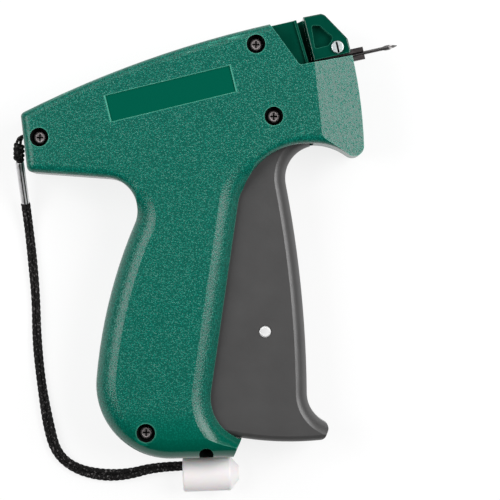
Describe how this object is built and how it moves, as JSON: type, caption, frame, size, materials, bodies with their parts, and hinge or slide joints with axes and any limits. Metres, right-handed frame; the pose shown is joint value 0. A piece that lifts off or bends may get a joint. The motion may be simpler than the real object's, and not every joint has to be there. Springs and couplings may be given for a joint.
{
  "type": "fabric tagging tool",
  "caption": "Pistol-shaped hand tool whose trigger pushes plastic fasteners through a slotted needle, with a wrist lanyard and a needle cap.",
  "frame": {"origin": "on the surface that the tool lies on, under the middle of its outline without the lanyard", "axes": "+X forward along the barrel towards the needle, +Y up from the butt to the top of the nose, +Z from the resting side to the screwed side"},
  "size_m": [0.1398, 0.174, 0.03],
  "materials": {
    "housing_green": "spark-eroded texture",
    "nose_green": "smooth satin",
    "trigger_grey": "satin",
    "needle_steel": "dull steel",
    "bright_steel": "polished",
    "lanyard_black": "braided cord",
    "cap_white": "smooth"
  },
  "bodies": {
    "housing": {"base_shell": "housing_green", "cover_shell": "housing_green", "feed_ramp": "nose_green", "nose_block": "nose_green", "needle_base": "needle_steel", "needle": "needle_steel", "cutter_blade": "bright_steel", "trigger_pivot_pin": "bright_steel", "lever_bracket": "trigger_grey", "lever_fulcrum_pin": "bright_steel", "feed_wheel_axle": "bright_steel", "housing_screws": "bright_steel", "return_spring": "needle_steel", "lanyard_loop": "lanyard_black", "lanyard_knot": "lanyard_black", "lanyard_crimp": "bright_steel", "lanyard_cord": "lanyard_black", "needle_cap": "cap_white"},
    "trigger": {"trigger": "trigger_grey", "link_pin": "bright_steel"},
    "lever": {"drive_lever": "needle_steel"},
    "slide": {"slide_carriage": "trigger_grey", "push_rod": "needle_steel"},
    "wheel": {"feed_wheel": "trigger_grey"},
    "lock": {"needle_lock_screw": "bright_steel"}
  },
  "joints": [
    {"name": "trigger_squeeze", "type": "hinge", "parent": "housing", "child": "trigger", "pos_m": [0.02873, 0.03889, 0.015], "axis": [0, 0, -1], "range_deg": [0, 17], "stiffness_Nm_per_rad": 1, "springref_deg": -11.46, "deforming": ["return_spring"]},
    {"name": "lever_swing", "type": "hinge", "parent": "housing", "child": "lever", "pos_m": [-0.00253, -0.00611, 0.015], "axis": [0, 0, -1], "range_deg": [0, 34.9]},
    {"name": "rod_slide", "type": "slide", "parent": "housing", "child": "slide", "axis": [0.9763, 0.2164, 0], "range_m": [0, 0.0359]},
    {"name": "wheel_feed", "type": "hinge", "parent": "housing", "child": "wheel", "pos_m": [0.03157, 0.05078, 0.015], "axis": [0, 0, -1], "range_deg": [0, 36.01]},
    {"name": "needle_lock_turn", "type": "hinge", "parent": "housing", "child": "lock", "pos_m": [0.04598, 0.06825, 0.015], "axis": [0, 0, 1], "range_deg": [0, 180]}
  ],
  "couplings": [
    {"joint": "lever_swing", "follows": "trigger_squeeze", "ratio": 2.0524},
    {"joint": "rod_slide", "follows": "trigger_squeeze", "m_per_rad": 0.12093},
    {"joint": "wheel_feed", "follows": "trigger_squeeze", "ratio": 2.1176}
  ]
}
